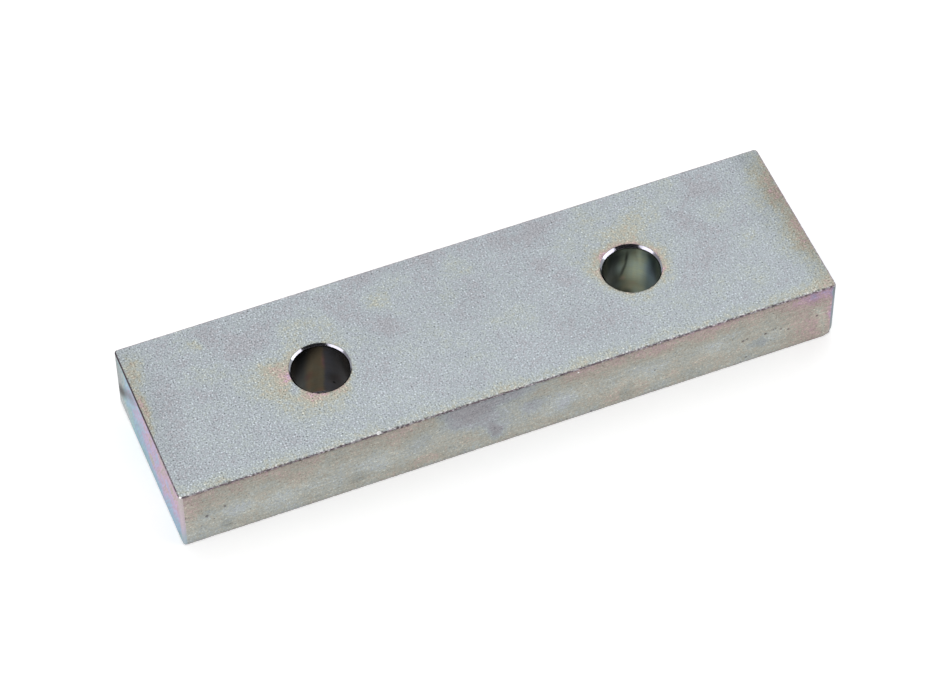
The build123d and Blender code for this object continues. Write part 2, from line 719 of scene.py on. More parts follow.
def blast_grain_group():
    """The fine peaks and hollows that blasting leaves."""
    inputs = [
        ("Position", "vector", None),
        ("Grain size", "value", 0.17),
        ("Depth", "value", 0.05),
        ("Shade", "value", 0.9),
        ("Seed", "value", 0.0),
    ]
    outputs = [("Height", "value"), ("Shade", "value")]
    graph, given, end = new_group("blast_grain", inputs, outputs)
    peaks = graph.noise(given["Position"], given["Grain size"], 2.0, seed=given["Seed"])
    graph.feed(end["Height"], graph.product(peaks, given["Depth"]))
    specks = graph.noise(given["Position"], given["Grain size"], 1.0, seed=given["Seed"])
    specks = graph.maths("SUBTRACT", specks, 0.5)
    sharper = graph.maths("MULTIPLY_ADD", graph.product(specks, specks), 25.0, 1.0)
    lighter = graph.product(specks, specks, 1.2)
    shade = graph.product(graph.total(graph.product(specks, sharper), lighter), given["Shade"])
    graph.feed(end["Shade"], graph.total(shade, 1.0))
    return graph.tree


def streaks_group():
    """Fine streaks that run one way over a face."""
    inputs = [
        ("Position", "vector", None),
        ("Direction", "vector", (1.0, 0.0, 0.0)),
        ("Length", "value", 8.0),
        ("Width", "value", 0.25),
        ("Depth", "value", 0.01),
        ("Shade", "value", 0.3),
        ("Seed", "value", 0.0),
    ]
    outputs = [("Height", "value"), ("Shade", "value"), ("Streak", "value")]
    graph, given, end = new_group("streaks", inputs, outputs)
    place, way = given["Position"], given["Direction"]
    along = graph.vector("DOT_PRODUCT", place, way, output="Value")
    across = graph.vector("SUBTRACT", place, graph.scaled(way, along))
    across = graph.scaled(across, graph.maths("DIVIDE", 1.0, given["Width"]))
    along = graph.scaled(way, graph.maths("DIVIDE", along, given["Length"]))
    streak = graph.noise(graph.vector("ADD", along, across), 1.0, 3.0, seed=given["Seed"])
    graph.feed(end["Height"], graph.product(streak, given["Depth"]))
    graph.feed(end["Shade"], graph.about(1.0, streak, given["Shade"]))
    graph.feed(end["Streak"], streak)
    return graph.tree


def painted_rim_shade_group():
    """A mask of painted shade along the rims: 1 on the rim, 0 past the width, with a ragged border.

    Place is how much painted shade each rim takes: those at the top, the front and the left
    take most, and those at the back, the right and the bottom less.
    """
    inputs = [
        ("Position", "vector", None),
        ("Width", "value", 0.26),
        ("Raggedness", "value", 0.5),
        ("Seed", "value", 0.0),
    ]
    outputs = [("Mask", "value"), ("Place", "value")]
    graph, given, end = new_group("painted_rim_shade", inputs, outputs)
    ragged = graph.noise(given["Position"], 0.32, 2.0, seed=given["Seed"])
    away = graph.about(graph.attribute("rim_mm"), ragged, given["Raggedness"])
    half = graph.product(given["Width"], 0.5)
    split = graph.node("ShaderNodeSeparateXYZ", {"Vector": given["Position"]}).outputs
    place = graph.product(
        graph.fade(split["X"], high.x - 0.7, high.x - 0.3, 1.0, 0.3),
        graph.fade(split["Y"], high.y - 0.7, high.y - 0.3, 1.0, 0.3),
        graph.fade(split["Z"], bottom + 1, top - 3, 0.2, 1.0),
    )
    graph.feed(end["Mask"], graph.product(graph.fade(away, given["Width"], half), place))
    graph.feed(end["Place"], place)
    return graph.tree


groups = {
    "film": passivate_film_group(),
    "clouds": film_clouds_group(),
    "ragged": ragged_place_group(),
    "spot": soft_spot_group(),
    "grain": blast_grain_group(),
    "streaks": streaks_group(),
    "rim_shade": painted_rim_shade_group(),
}


# ------------------------------------------------------------------------------------------
# Stains, painted light and shade: where the film is thicker or thinner, the metal lighter or darker
# ------------------------------------------------------------------------------------------

# film is added to the film's thickness, and shade to the brightness, in the middle of the stain.
# The middle and the reach are in millimetres, and the turn is in degrees.
StainAndLight = namedtuple("StainAndLight", "film shade middle reach turn", defaults=((0, 0, 0),))

# How far a stain reaches through its own face.
THROUGH_TOP, THROUGH_SIDE = 5.0, 3.0

left_bore, right_bore = bore_centres


def top_stain(film, shade, along, across, length, width):
    """A stain on the top face, placed from the block's left end and its front side."""
    middle = from_corner(along, across, top - bottom)
    return StainAndLight(film, shade, middle, (length, width, THROUGH_TOP))


def halo(bore, film, shade, x, y, length, width):
    """A stain on the top face, placed from a bore's axis."""
    return StainAndLight(film, shade, (bore[0] + x, bore[1] + y, top), (length, width, THROUGH_TOP))


def front_stain(film, shade, along, up, length, height, turn=0):
    """A stain on the front side, placed from the left end and the bottom face."""
    reach = (length, THROUGH_SIDE, height)
    return StainAndLight(film, shade, from_corner(along, 0.0, up), reach, (0, turn, 0))


def end_stain_and_shade(film, shade, across, up, width, height, turn=0):
    """A stain or a painted shade on the left end, placed from the front side and the bottom face.
    """
    reach = (THROUGH_SIDE, width, height)
    return StainAndLight(film, shade, from_corner(0.0, across, up), reach, (turn, 0, 0))


def bore_stain_and_light(bore, film, shade, polar, depth, reach, turn=0):
    """A stain or a patch of painted light on a bore's wall; polar 0 is towards +X, 90 towards +Y.
    """
    angle = math.radians(polar)
    x, y = bore[0] + bore_radius * math.cos(angle), bore[1] + bore_radius * math.sin(angle)
    return StainAndLight(film, shade, (x, y, top - depth), reach, (0, turn, 0))


TOP_STAINS = (
    # the film that the holes held back: a yellow ring, with pink on one side
    halo(left_bore, 0.47, -0.02, 0.0, 0.0, 7.5, 7.5),
    halo(left_bore, 0.28, -0.05, -2.6, -2.4, 9.6, 9.4),
    halo(left_bore, -0.36, 0.05, -4.6, -2.2, 2.0, 2.2),
    halo(left_bore, 0.14, -0.02, -7.0, 3.5, 3.0, 5.0),
    halo(right_bore, 0.60, -0.02, 0.6, -0.5, 7.6, 7.6),
    halo(right_bore, 0.24, -0.06, -0.8, 1.8, 9.0, 8.2),
    halo(right_bore, 0.16, -0.02, 4.4, -2.6, 1.4, 1.4),
    halo(right_bore, 0.14, -0.03, -3.4, 4.4, 3.2, 2.8),
    # wide soft patches of yellow green
    halo(right_bore, 0.12, 0.00, 2.0, 8.5, 14.0, 8.0),
    top_stain(0.12, 0.01, 26.0, 23.0, 5.0, 5.5),
    top_stain(0.10, 0.00, 9.5, 21.0, 4.0, 4.0),
    top_stain(0.05, -0.01, 16.0, 16.5, 7.0, 7.0),
    # thin violet patches
    top_stain(-0.08, -0.02, 15.0, 27.0, 5.0, 3.5),
    top_stain(-0.08, -0.02, 17.5, 21.5, 3.5, 3.0),
    top_stain(-0.10, -0.03, 25.0, 26.5, 4.0, 3.0),
    top_stain(-0.10, -0.03, 46.0, 30.0, 20.0, 4.5),
    top_stain(-0.10, -0.03, 67.0, 28.0, 9.0, 5.0),
    top_stain(-0.08, -0.03, 52.5, 19.0, 5.5, 7.0),
    top_stain(-0.08, -0.03, 68.5, 7.5, 8.0, 6.0),
    top_stain(-0.08, -0.03, 39.0, 18.0, 4.5, 4.5),
    top_stain(-0.05, -0.02, 96.0, 24.5, 7.0, 5.0),
    top_stain(-0.05, -0.02, 91.0, 20.0, 4.0, 4.0),
    top_stain(-0.07, -0.03, 99.5, 18.5, 4.0, 4.0),
    # bluer patches in the front half
    top_stain(-0.03, 0.04, 38.0, 6.0, 12.0, 7.0),
    top_stain(-0.03, 0.04, 60.0, 6.0, 10.0, 6.0),
    top_stain(0.00, 0.03, 6.5, 11.5, 4.5, 5.0),
    # the ends: a brown strip on the right, and a few orange touches on the left
    top_stain(0.29, -0.34, 108.6, 18.0, 9.0, 32.0),
    top_stain(0.08, -0.05, 105.8, 20.0, 1.8, 5.0),
    top_stain(0.10, -0.05, 106.3, 9.0, 1.8, 4.0),
    top_stain(-0.06, -0.12, 103.8, 28.6, 1.4, 1.3),
    top_stain(-0.10, -0.03, 4.6, 17.5, 4.0, 5.0),
    top_stain(0.24, -0.04, 0.6, 18.0, 1.6, 6.0),
    top_stain(0.15, -0.02, 1.6, 25.5, 2.2, 4.0),
    top_stain(0.20, -0.03, 0.2, 14.0, 1.2, 2.6),
    top_stain(0.17, -0.02, 11.8, 26.0, 1.8, 1.6),
    top_stain(0.07, -0.10, 0.0, 20.0, 7.0, 24.0),
    top_stain(-0.10, -0.30, 1.4, 3.2, 0.6, 0.5),
)
FRONT_STAINS = (
    # the bluish patch at half length, which runs down to the right
    front_stain(-0.26, -0.05, 46.8, 8.6, 10.0, 5.0, turn=35),
    front_stain(-0.28, -0.02, 50.5, 11.2, 13.0, 3.2),
    front_stain(-0.30, -0.20, 50.6, 3.6, 1.8, 3.4, turn=-24),
    # mint and yellow patches
    front_stain(-0.07, 0.12, 9.5, 5.0, 4.0, 3.2),
    front_stain(-0.05, 0.10, 16.0, 4.5, 5.5, 3.2),
    front_stain(-0.05, 0.10, 32.0, 5.5, 5.5, 3.0),
    front_stain(-0.09, 0.10, 61.5, 5.5, 3.4, 4.0),
    front_stain(-0.04, 0.09, 76.0, 5.5, 7.0, 3.4),
    front_stain(-0.04, 0.07, 87.0, 6.5, 4.0, 2.8),
    front_stain(0.05, 0.00, 18.0, 8.5, 5.0, 3.0),
    front_stain(0.09, -0.02, 37.0, 1.6, 10.0, 2.4),
    front_stain(0.08, 0.00, 69.0, 3.0, 8.0, 3.0),
    front_stain(0.10, 0.00, 1.5, 6.0, 3.0, 7.0),
    # dull smudges
    front_stain(-0.04, -0.20, 7.0, 2.0, 1.5, 2.8),
    front_stain(0.00, -0.12, 3.2, 7.5, 3.6, 3.6),
    front_stain(-0.04, -0.20, 27.9, 3.0, 2.2, 2.6),
    front_stain(-0.12, -0.20, 94.2, 3.9, 2.6, 1.9),
    front_stain(-0.10, -0.14, 72.2, 2.6, 2.0, 3.0),
    front_stain(-0.02, -0.14, 83.0, 2.0, 3.0, 1.8),
    front_stain(-0.10, -0.08, 56.5, 7.0, 3.6, 3.0),
    # the right end's own film: pink, orange, then violet at the corner
    front_stain(0.14, -0.15, 104.5, 5.5, 10.0, 14.0),
    front_stain(-0.04, 0.14, 104.4, 6.6, 1.7, 2.2),
    front_stain(-0.04, 0.12, 105.0, 3.8, 1.2, 2.6),
    front_stain(0.30, -0.10, 107.2, 6.0, 1.7, 13.0),
    front_stain(0.12, -0.10, 102.9, 10.7, 1.5, 2.2),
    front_stain(0.06, -0.06, 105.4, 12.3, 3.4, 2.0),
)
END_STAINS_AND_SHADE = (
    # a dark band from the lower back corner up to the top: painted shade, a dark reflection
    end_stain_and_shade(-0.10, -0.86, 27.9, 4.6, 5.2, 1.8, turn=-40),
    end_stain_and_shade(-0.10, -0.56, 23.6, 8.6, 6.5, 1.7, turn=-40),
    end_stain_and_shade(0.06, -0.34, 31.0, 8.0, 7.0, 14.0),
    # pink above and at the leading edge, blue below, and a yellow spot
    end_stain_and_shade(-0.07, 0.00, 15.0, 9.3, 3.2, 3.4),
    end_stain_and_shade(-0.08, 0.02, 3.4, 9.6, 2.2, 2.6),
    end_stain_and_shade(-0.20, 0.00, 8.3, 3.2, 1.6, 4.6, turn=25),
    end_stain_and_shade(0.00, 0.22, 26.0, 1.0, 7.0, 3.6),
    end_stain_and_shade(0.10, 0.00, 6.2, 8.0, 1.0, 1.8, turn=25),
    end_stain_and_shade(0.02, 0.00, 20.0, 5.0, 4.0, 4.0),
    end_stain_and_shade(0.08, 0.00, 0.6, 2.4, 2.0, 3.4),
    end_stain_and_shade(-0.26, 0.00, 13.8, 4.6, 2.2, 1.8),
)
CORNER_STAINS_AND_HIGHLIGHT = (
    # teal and blue at the right front corner, and a pale pink painted highlight on the left front
    # one
    StainAndLight(-0.28, -0.35, from_corner(107.0, 0.0, 7.0), (3.0, 3.0, 16.0)),
    StainAndLight(0.04, -0.25, from_corner(107.0, 0.0, 12.0), (3.0, 3.0, 4.0)),
    StainAndLight(-0.06, 0.18, from_corner(0.0, 0.0, 6.0), (3.0, 3.0, 14.0)),
)
BORE_STAINS_AND_LIGHT = (
    # the left bore: rust low on its left and at the mouth, and a black pit
    bore_stain_and_light(left_bore, 0.12, -0.25, 98, 7.2, (1.3, 1.3, 1.6)),
    bore_stain_and_light(left_bore, 0.10, 0.10, 76, 11.4, (1.6, 1.6, 1.4)),
    bore_stain_and_light(left_bore, 0.08, -0.15, 80, 1.0, (2.4, 1.6, 1.6)),
    bore_stain_and_light(left_bore, 0.04, -0.40, 48, 7.8, (2.0, 2.0, 2.0)),
    bore_stain_and_light(left_bore, 0.00, -0.95, 46, 9.0, (0.42, 0.42, 0.42)),
    bore_stain_and_light(left_bore, 0.16, 0.10, 65, 4.0, (0.6, 1.2, 3.0)),
    # painted light: brighter just inside the mouth, on its right
    bore_stain_and_light(left_bore, 0.00, 1.20, 24, 1.2, (1.6, 2.2, 2.4)),
    # the right bore: a dark curved line, a teal patch beside it, and a warm one below
    bore_stain_and_light(right_bore, 0.00, -0.80, 76, 2.9, (0.44, 0.9, 2.6), turn=4),
    bore_stain_and_light(right_bore, 0.00, -0.80, 82, 5.6, (0.48, 0.9, 2.4), turn=15),
    bore_stain_and_light(right_bore, -0.06, 1.10, 92, 5.0, (1.1, 1.2, 2.2)),
    bore_stain_and_light(right_bore, 0.13, 0.30, 84, 7.6, (0.9, 1.0, 1.0)),
    bore_stain_and_light(right_bore, 0.10, -0.05, 62, 9.4, (3.6, 4.0, 3.6)),
    bore_stain_and_light(right_bore, 0.04, -0.70, 74, 11.4, (1.8, 1.6, 1.4)),
    bore_stain_and_light(right_bore, -0.18, -0.30, 22, 4.5, (1.5, 2.2, 4.0)),
    bore_stain_and_light(right_bore, 0.00, -0.30, 35, 7.6, (1.0, 1.8, 3.4)),
    # a painted reflection: brighter just inside the mouth, at its back
    bore_stain_and_light(right_bore, 0.00, 1.30, 98, 0.9, (2.6, 2.0, 1.3)),
    bore_stain_and_light(right_bore, 0.00, 0.60, 94, 9.2, (1.2, 1.2, 1.4)),
    bore_stain_and_light(right_bore, -0.10, 0.00, 110, 3.5, (2.4, 2.0, 4.0)),
)


# ------------------------------------------------------------------------------------------
# Materials
# ------------------------------------------------------------------------------------------

# The zinc under the film of each finish.
BLASTED_ZINC = (0.593, 0.581, 0.571)
DRAWN_ZINC = (0.602, 0.588, 0.597)
MILLED_ZINC = (0.715, 0.715, 0.72)
CORNER_ZINC = (0.58, 0.58, 0.58)
# The rims and the countersinks each come lit and shaded: painted light and shade.
LIT_RIM = (0.52, 0.51, 0.53, 1.0)
SHADED_RIM = (0.32, 0.285, 0.32, 1.0)
SHADED_CUT = (0.50, 0.46, 0.50, 1.0)
LIT_CUT = (0.78, 0.76, 0.78, 1.0)
BROWN_WALL = (0.185, 0.152, 0.118, 1.0)
GREY_WALL = (0.13, 0.13, 0.135, 1.0)
VIOLET_WALL = (0.109, 0.102, 0.126, 1.0)
GREEN_WALL = (0.74, 0.785, 0.66, 1.0)
BLUE_WALL = (0.42, 0.52, 0.54, 1.0)

# What is laid over it.
COLD = (0.69, 0.70, 0.735, 1.0)
# Painted shade along the rims, and the dark of the pits.
SHADE_AND_PIT_DARK = (0.10, 0.078, 0.094, 1.0)
BARE = (0.60, 0.58, 0.61, 1.0)
# The bare metal of the chips, and glints beside the rims: bare burrs with painted highlights.
RUBBED_AND_GLINT = (0.93, 0.93, 0.94, 1.0)


class Finish(Graph):
    """A material of plated steel, whose position is in millimetres."""

    def __init__(self, name, roughness):
        self.material = bpy.data.materials.new(name)
        self.material.use_nodes = True
        super().__init__(self.material.node_tree)
        self.surface = self.tree.nodes["Principled BSDF"]
        self.surface.inputs["Metallic"].default_value = 1.0
        self.surface.inputs["Roughness"].default_value = roughness
        coordinates = self.node("ShaderNodeTexCoord").outputs["Object"]
        self.position = self.scaled(coordinates, 1 / MM)
        self.split = self.node("ShaderNodeSeparateXYZ", {"Vector": self.position}).outputs

    def shared(self, name, **inputs):
        """The outputs of a shared effect; an input such as grain_size is its Grain size."""
        made = self.node("ShaderNodeGroup", node_tree=groups[name])
        if "Position" in made.inputs:
            inputs.setdefault("position", self.position)
        for key, value in inputs.items():
            self.feed(made.inputs[key.replace("_", " ").capitalize()], value)
        return made.outputs

    def film(self, thickness, strength=1.0):
        """The colour of a film of this thickness."""
        return self.shared("film", thickness=thickness, strength=strength)["Colour"]

    def stained_and_lit(self, stains, place):
        """The film and the shade that a face's stains, and its painted light and shade, add
        together.
        """
        film, shade = 0.0, 1.0
        for stain in stains:
            turn = [math.radians(angle) for angle in stain.turn]
            spot = {"middle": stain.middle, "turn": turn, "reach": stain.reach}
            mask = self.shared("spot", position=place, **spot)["Mask"]
            if stain.film:
                film = self.maths("MULTIPLY_ADD", mask, stain.film, film)
            if stain.shade:
                shade = self.maths("MULTIPLY_ADD", mask, stain.shade, shade)
        return film, shade

    def coloured(self, zinc, film_colour, shade, over=()):
        """Sets the base colour: zinc through its film, shaded, then (mask, colour) laid over it."""
        colour = self.vector("MULTIPLY", film_colour, zinc)
        colour = self.scaled(colour, shade)
        for mask, second in over:
            colour = self.blend(mask, colour, second)
        self.feed(self.surface.inputs["Base Color"], colour)

    def bumped(self, *heights):
        """Sets the normal from heights in millimetres."""
        bump = self.node("ShaderNodeBump", {"Height": self.total(*heights), "Distance": MM})
        self.feed(self.surface.inputs["Normal"], bump.outputs[0])

    def dented(self):
        """Laid over any face: the dark of its pits, and the bright metal of its chips."""
        pit = self.fade(self.attribute("in_pit"), 0.1, 0.85, 0.0, 0.7)
        chip = self.fade(self.attribute("in_chip"), 0.25, 0.5)
        return [(pit, SHADE_AND_PIT_DARK), (chip, RUBBED_AND_GLINT)]


def blasted_face():
    """The broad faces: matt and sparkling, with a thin bluish film and coloured halos."""
    finish = Finish("blasted_zinc", 0.5)
    place = finish.shared("ragged", size=2.2, reach=3.5)["Position"]
    film, shade = finish.stained_and_lit(TOP_STAINS, place)
    from_front = finish.total(finish.split["Y"], -low.y)
    mixed = finish.fade(from_front, 5.0, 20.0, 0.34, 0.60)
    clouds = finish.shared("clouds", size=6.0, depth=mixed, seed=5.0)["Thickness"]
    specks = finish.noise(finish.position, 0.45, 1.0, seed=8.0)
    edge = finish.fade(from_front, 3.2, 0.4, 0.0, 0.13)
    thickness = finish.about(finish.total(0.13, film, clouds, edge), specks, 0.38)
    coarser = finish.fade(finish.split["X"], -8.0, -35.0, 1.2, 1.45)
    grain = finish.shared("grain", grain_size=0.255, depth=0.04, shade=coarser)
    wander = finish.about(1.0, finish.noise(finish.position, 1.4, 2.0, seed=4.0), 0.18)
    backwards = finish.fade(from_front, 6.0, 28.0, 1.0, 0.96)
    off_left = finish.fade(finish.split["X"], low.x + 0.4, low.x + 1.2)
    raggedness = finish.fade(off_left, 0.0, 1.0, 0.25, 1.5)
    # Painted shade: a dark ragged line along the rims, darker and less ragged at the left end.
    rim_shade = finish.shared("rim_shade", width=0.26, raggedness=raggedness)["Mask"]
    left_rim_shade = finish.fade(from_front, 3.0, 14.0, 0.6, 0.95)
    rim_shade = finish.product(rim_shade, finish.fade(off_left, 0.0, 1.0, left_rim_shade, 0.56))
    # Glints: bare burrs with painted highlights by the rims, strongest at the front.
    glint = finish.fade(finish.noise(finish.position, 0.32, 1.0, seed=9.0), 0.54, 0.62)
    near_rim = finish.fade(finish.attribute("rim_mm"), 0.7, 0.3)
    glint = finish.product(glint, near_rim, finish.fade(off_left, 0.0, 1.0, 0.15, 0.62))
    glint = finish.product(glint, finish.fade(from_front, 2.0, 0.5, 0.2, 1.0))
    over = [(rim_shade, SHADE_AND_PIT_DARK), (glint, RUBBED_AND_GLINT)] + finish.dented()
    shades = finish.product(shade, grain["Shade"], wander, backwards)
    finish.coloured(BLASTED_ZINC, finish.film(thickness, 1.18), shades, over)
    finish.bumped(grain["Height"])
    return finish.material


def drawn_side():
    """The long sides: drawn smooth, with streaks along them and a warm band under the rim."""
    finish = Finish("drawn_zinc", 0.42)
    place = finish.shared("ragged", size=1.8, reach=2.6)["Position"]
    film, shade = finish.stained_and_lit(FRONT_STAINS, place)
    clouds = finish.shared("clouds", size=5.0, depth=0.34, seed=2.0)["Thickness"]
    from_top = finish.maths("SUBTRACT", top, finish.split["Z"])
    band = finish.about(from_top, finish.noise(place, 3.0, 2.0, seed=6.0), 4.0)
    along = finish.fade(finish.split["X"], 4.0, 13.0, 0.10, 0.12)
    band = finish.product(finish.fade(band, 4.8, 0.2), along)
    specks = finish.noise(finish.position, 0.5, 1.0, seed=8.0)
    thickness = finish.about(finish.total(0.31, film, clouds, band), specks, 0.3)
    streaks = finish.shared("streaks", length=7.0, width=0.3, depth=0.012, shade=0.55)
    grain = finish.shared("grain", grain_size=0.225, depth=0.03, shade=0.75, seed=3.0)
    # Painted light and shade: darker below the top, lighter lower down, darker next to the rims.
    lit = finish.fade(from_top, 0.0, 8.0, 0.82, 1.05)
    under = finish.fade(finish.attribute("rim_mm"), 0.9, 0.2, 1.0, 0.84)
    stretched = finish.vector("MULTIPLY", finish.position, (0.5, 1.0, 1.0))
    wander = finish.about(1.0, finish.noise(stretched, 1.2, 2.0, seed=4.0), 0.22)
    shades = finish.product(shade, lit, under, streaks["Shade"], grain["Shade"], wander)
    # Painted shade along the rims.
    rim_shade = finish.product(finish.shared("rim_shade", width=0.28, raggedness=1.5)["Mask"], 0.52)
    over = [(rim_shade, SHADE_AND_PIT_DARK)] + finish.dented()
    colour = finish.blend(finish.fade(thickness, 0.27, 0.06), finish.film(thickness, 1.2), COLD)
    finish.coloured(DRAWN_ZINC, colour, shades, over)
    finish.bumped(streaks["Height"], grain["Height"])
    return finish.material


def end_film(finish, film):
    """The film of an end: thin at its leading edge, thicker towards its trailing edge and below.

    The left end leads at its front edge, and the right end at its back edge.
    """
    way = finish.product(finish.maths("SIGN", finish.split["X"]), -1)
    from_lead = finish.maths("MULTIPLY_ADD", finish.split["Y"], way, half_width)
    above = finish.maths("SUBTRACT", finish.split["Z"], bottom)
    grows_from, grown_at = 6.0, 2 * half_width - 2.0
    growth = finish.total(from_lead, -grows_from)
    growth = finish.maths("DIVIDE", growth, grown_at - grows_from)
    growth = finish.maths("POWER", finish.maths("MAXIMUM", growth, 0.0), 2.0)
    lower = finish.fade(above, 10.5, 0.0)
    lower = finish.product(lower, lower, finish.fade(from_lead, 0.0, 2 * half_width, 0.32, 0.10))
    return finish.total(0.53, finish.product(growth, 0.42), lower, film)


def milled_end():
    """The ends: milled, with slanting streaks and a strong film that runs through its colours."""
    finish = Finish("milled_zinc", 0.34)
    finish.surface.inputs["Specular Tint"].default_value = (0.8, 0.8, 0.8, 1.0)
    place = finish.shared("ragged", size=2.0, reach=1.2)["Position"]
    film, shade = finish.stained_and_lit(END_STAINS_AND_SHADE, place)
    cuts = {"direction": (0.0, -0.53, 0.85), "length": 2.4, "width": 0.32}
    streaks = finish.shared("streaks", **cuts, depth=0.01, shade=0.8, seed=1.0)
    clouds = finish.shared("clouds", size=2.8, depth=0.6, seed=3.0)["Thickness"]
    thickness = finish.total(end_film(finish, film), clouds)
    thickness = finish.about(thickness, streaks["Streak"], 0.34)
    # Painted shade along the rims.
    rim_shade = finish.shared("rim_shade", width=0.22, raggedness=0.15)["Mask"]
    over = [(rim_shade, SHADE_AND_PIT_DARK)] + finish.dented()
    shades = finish.product(shade, streaks["Shade"])
    finish.coloured(MILLED_ZINC, finish.film(thickness, 1.4), shades, over)
    finish.bumped(streaks["Height"])
    return finish.material


def dressed_corner():
    """The upright corners, with the film of the ends."""
    finish = Finish("dressed_corner_zinc", 0.36)
    clouds = finish.shared("clouds", size=3.0, depth=0.3, seed=3.0)["Thickness"]
    grain = finish.shared("grain", grain_size=0.3, depth=0.01, shade=0.2)
    film, shade = finish.stained_and_lit(CORNER_STAINS_AND_HIGHLIGHT, finish.position)
    thickness = end_film(finish, finish.total(clouds, film))
    shades = finish.product(shade, grain["Shade"])
    finish.coloured(CORNER_ZINC, finish.film(thickness, 0.6), shades, finish.dented())
    finish.bumped(grain["Height"])
    return finish.material


def broken_rim():
    """The rims: painted shade, dark at the top, front and left, with some bare specks."""
    finish = Finish("broken_rim_zinc", 0.38)
    specks = finish.noise(finish.position, 0.5, 2.0, seed=12.0)
    bare = finish.fade(specks, 0.48, 0.60, 0.0, 0.85)
    shade = finish.about(1.0, specks, 0.8)
    # Painted shade: lit and shaded copies of the rims' zinc, shaded at the top, front and left.
    rim_in_shade = finish.shared("rim_shade")["Place"]
    zinc = finish.blend(rim_in_shade, LIT_RIM, SHADED_RIM)
    # Painted shade: the rims at the left end are drawn darker still, less so towards the front.
    on_left_end = finish.fade(finish.split["X"], low.x + 0.6, low.x + 0.3)
    to_front = finish.fade(finish.split["Y"], 4.0, low.y + 1.0, 1.0, 0.35)
    over = [(bare, BARE), (finish.product(on_left_end, to_front), SHADE_AND_PIT_DARK)] + finish.dented()
    finish.coloured(zinc, finish.film(0.5, 0.5), shade, over)
    return finish.material


def countersunk_mouth():
    """The countersinks: bright, freshly cut zinc, with painted highlights on two opposite sides.

    The bores lie at equal distances from the block's middle, so one offset serves for both.
    """
    finish = Finish("countersunk_zinc", 0.14)
    dull = finish.noise(finish.position, 0.5, 2.0, seed=2.0)
    from_middle = finish.vector("ABSOLUTE", finish.position)
    from_axis = finish.vector("SUBTRACT", from_middle, (right_bore[0], 0.0, 0.0))
    from_axis = finish.vector("MULTIPLY", from_axis, finish.vector("SIGN", finish.position))
    across = finish.vector("DOT_PRODUCT", from_axis, (-0.866, 0.5, 0.0), output="Value")
    # Painted light and shade: lit cut zinc on two opposite sides of each mouth, shaded elsewhere.
    light = finish.fade(finish.maths("ABSOLUTE", across), 4.0, 4.45)
    zinc = finish.blend(light, SHADED_CUT, LIT_CUT)
    finish.coloured(zinc, finish.film(0.05), finish.about(1.0, dull, 0.3))
    finish.bumped(finish.product(dull, 0.006))
    return finish.material


def drilled_wall(name, number, zinc, film, shades):
    """The wall of the bore with this number: bands up it, and the drill's fine rings.

    zinc and shades are functions. They give its metal and its painted shade from how far a place
    is beside the bore's axis, and shades also goes by its depth.
    """
    finish = Finish(name, 0.3)
    beside_axis = finish.maths("SUBTRACT", finish.split["X"], bore_centres[number][0])
    depth = finish.maths("SUBTRACT", top, finish.split["Z"])
    more_film, shade = finish.stained_and_lit(BORE_STAINS_AND_LIGHT, finish.position)
    bands = finish.vector("MULTIPLY", finish.position, (0.7, 0.7, 0.07))
    bands = finish.noise(bands, 1.0, 2.0, seed=number)
    cuts = {"direction": (0.0, 0.0, 1.0), "length": 0.2, "width": 5.0}
    rings = finish.shared("streaks", **cuts, depth=0.004, shade=0.35)
    patches = finish.noise(finish.position, 1.6, 2.0, seed=number)
    thickness = finish.about(finish.total(film, more_film), bands, 0.2)
    thickness = finish.about(thickness, patches, 0.3)
    bands = finish.about(1.0, bands, 0.6)
    shade = finish.product(shade, rings["Shade"], bands, shades(finish, beside_axis, depth))
    finish.coloured(zinc(finish, beside_axis), finish.film(thickness, 1.5), shade)
    finish.bumped(rings["Height"])
    return finish.material


def left_bore_wall():
    """The left bore: brown, a straight border to violet, and black painted shade on its left."""

    def zinc(finish, beside_axis):
        wander = finish.noise(finish.position, 1.2, 2.0, seed=3.0)
        wandering = finish.about(beside_axis, wander, 0.7)
        violet_side = finish.fade(wandering, 1.5, 2.15)
        grey_side = finish.fade(wandering, -0.4, -1.4)
        warm = finish.blend(grey_side, BROWN_WALL, GREY_WALL)
        return finish.blend(violet_side, warm, VIOLET_WALL)

    def shades(finish, beside_axis, depth):
        # Painted shade: a slanted dark wedge on the left, and dimmer on the far right.
        slanted = finish.maths("MULTIPLY_ADD", depth, 0.5, beside_axis)
        from_left = finish.fade(slanted, -0.4, 3.0, 0.02, 1.3)
        to_right = finish.fade(beside_axis, 2.1, 4.0, 1.0, 0.5)
        return finish.product(from_left, to_right)

    return drilled_wall("left_bore_zinc", 0, zinc, 0.34, shades)


def right_bore_wall():
    """The right bore: pale green on its right, and painted shade towards its left and its mouth."""

    def zinc(finish, beside_axis):
        blue_side = finish.fade(beside_axis, 3.3, 4.1)
        return finish.blend(blue_side, GREEN_WALL, BLUE_WALL)

    def shades(finish, beside_axis, depth):
        # Painted shade: darker towards the left, the far right, the mouth and the bottom.
        from_left = finish.fade(beside_axis, -0.6, 3.0, 0.15, 1.1)
        to_right = finish.fade(beside_axis, 3.6, 4.6, 1.0, 0.5)
        from_mouth = finish.fade(depth, 1.0, 4.6, 0.55, 1.0)
        from_mouth = finish.maths("MAXIMUM", from_mouth, finish.fade(beside_axis, 1.5, 3.0))
        to_bottom = finish.fade(depth, 5.5, 9.5, 1.0, 0.62)
        return finish.product(from_left, to_right, from_mouth, to_bottom)

    return drilled_wall("right_bore_zinc", 1, zinc, 0.28, shades)


# ------------------------------------------------------------------------------------------
# The studio
# ------------------------------------------------------------------------------------------


def direction(azimuth, elevation):
    """The way to something seen from the block: azimuth 0 is +X, and 90 is +Y."""
    a, e = math.radians(azimuth), math.radians(elevation)
    return Vector((math.cos(a) * math.cos(e), math.sin(a) * math.cos(e), math.sin(e)))


